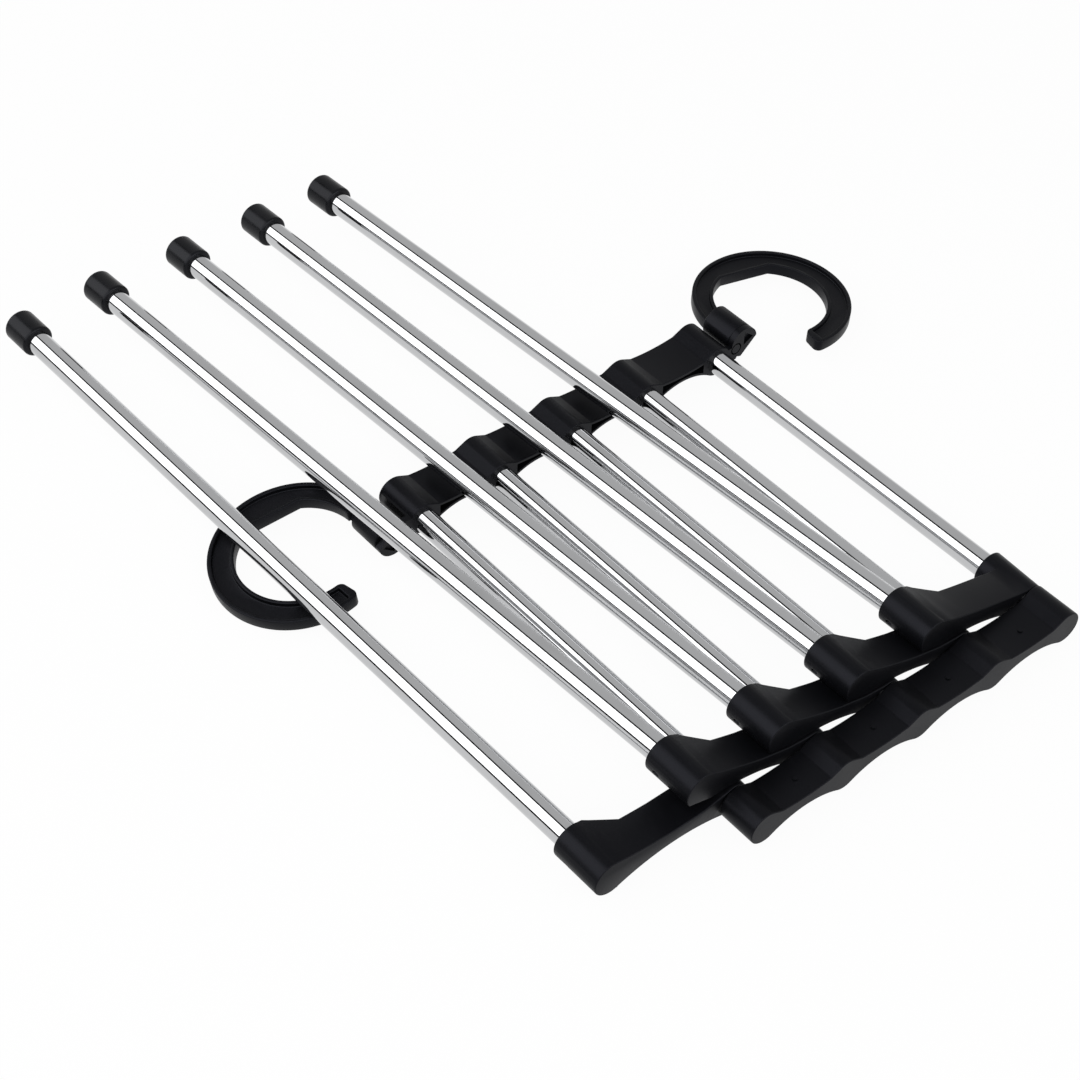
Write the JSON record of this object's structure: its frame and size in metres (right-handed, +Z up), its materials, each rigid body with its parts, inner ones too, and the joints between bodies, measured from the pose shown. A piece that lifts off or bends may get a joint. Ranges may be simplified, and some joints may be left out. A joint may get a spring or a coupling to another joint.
{
  "type": "trouser hanger",
  "caption": "Multi-tier trouser hanger: chromed tubes between wavy plastic rails, folding link arms that carry long capped rods, and hinged ring hooks at the rail ends.",
  "frame": {"origin": "centre of the front rail's flat front face, on the axis of the middle fixed tube", "axes": "+X along the rails towards the right hook, +Y along the tubes from the front rail to the rod caps, +Z up from the surface the hanger lies on"},
  "size_m": [0.303, 0.3644, 0.0336],
  "materials": {
    "black_plastic": "satin moulded near-black plastic",
    "cap_plastic": "smooth near-black plastic",
    "chrome": "bright chromed steel tube"
  },
  "bodies": {
    "frame": {"front_rail": "black_plastic", "hook_rail": "black_plastic", "fixed_tube_1": "chrome", "fixed_tube_2": "chrome", "fixed_tube_3": "chrome", "fixed_tube_4": "chrome", "fixed_tube_5": "chrome"},
    "arm_1": {"link_1": "black_plastic", "swing_rod_1": "chrome", "end_cap_1": "cap_plastic"},
    "arm_2": {"link_2": "black_plastic", "swing_rod_2": "chrome", "end_cap_2": "cap_plastic"},
    "arm_3": {"link_3": "black_plastic", "swing_rod_3": "chrome", "end_cap_3": "cap_plastic"},
    "arm_4": {"link_4": "black_plastic", "swing_rod_4": "chrome", "end_cap_4": "cap_plastic"},
    "arm_5": {"link_5": "black_plastic", "swing_rod_5": "chrome", "end_cap_5": "cap_plastic"},
    "right_hook": {"hook_right": "black_plastic"},
    "left_hook": {"hook_left": "black_plastic"}
  },
  "joints": [
    {"name": "arm_1_pivot", "type": "hinge", "parent": "frame", "child": "arm_1", "pos_m": [0.0732, 0.0261, 0], "axis": [0, 1, 0], "range_deg": [0, 140]},
    {"name": "arm_2_pivot", "type": "hinge", "parent": "frame", "child": "arm_2", "pos_m": [0.0366, 0.0261, 0], "axis": [0, 1, 0], "range_deg": [0, 140]},
    {"name": "arm_3_pivot", "type": "hinge", "parent": "frame", "child": "arm_3", "pos_m": [0, 0.0261, 0], "axis": [0, 1, 0], "range_deg": [0, 140]},
    {"name": "arm_4_pivot", "type": "hinge", "parent": "frame", "child": "arm_4", "pos_m": [-0.0366, 0.0261, 0], "axis": [0, 1, 0], "range_deg": [0, 140]},
    {"name": "arm_5_pivot", "type": "hinge", "parent": "frame", "child": "arm_5", "pos_m": [-0.0732, 0.0261, 0], "axis": [0, 1, 0], "range_deg": [0, 140]},
    {"name": "right_hook_hinge", "type": "hinge", "parent": "frame", "child": "right_hook", "pos_m": [0.0872, 0.19235, 0.0032], "axis": [0, 1, 0], "range_deg": [0, 85]},
    {"name": "left_hook_hinge", "type": "hinge", "parent": "frame", "child": "left_hook", "pos_m": [-0.0872, 0.19235, -0.0032], "axis": [0, -1, 0], "range_deg": [0, 85]}
  ],
  "couplings": [
    {"joint": "arm_2_pivot", "follows": "arm_1_pivot", "ratio": 1},
    {"joint": "arm_3_pivot", "follows": "arm_1_pivot", "ratio": 1},
    {"joint": "arm_4_pivot", "follows": "arm_1_pivot", "ratio": 1},
    {"joint": "arm_5_pivot", "follows": "arm_1_pivot", "ratio": 1}
  ]
}
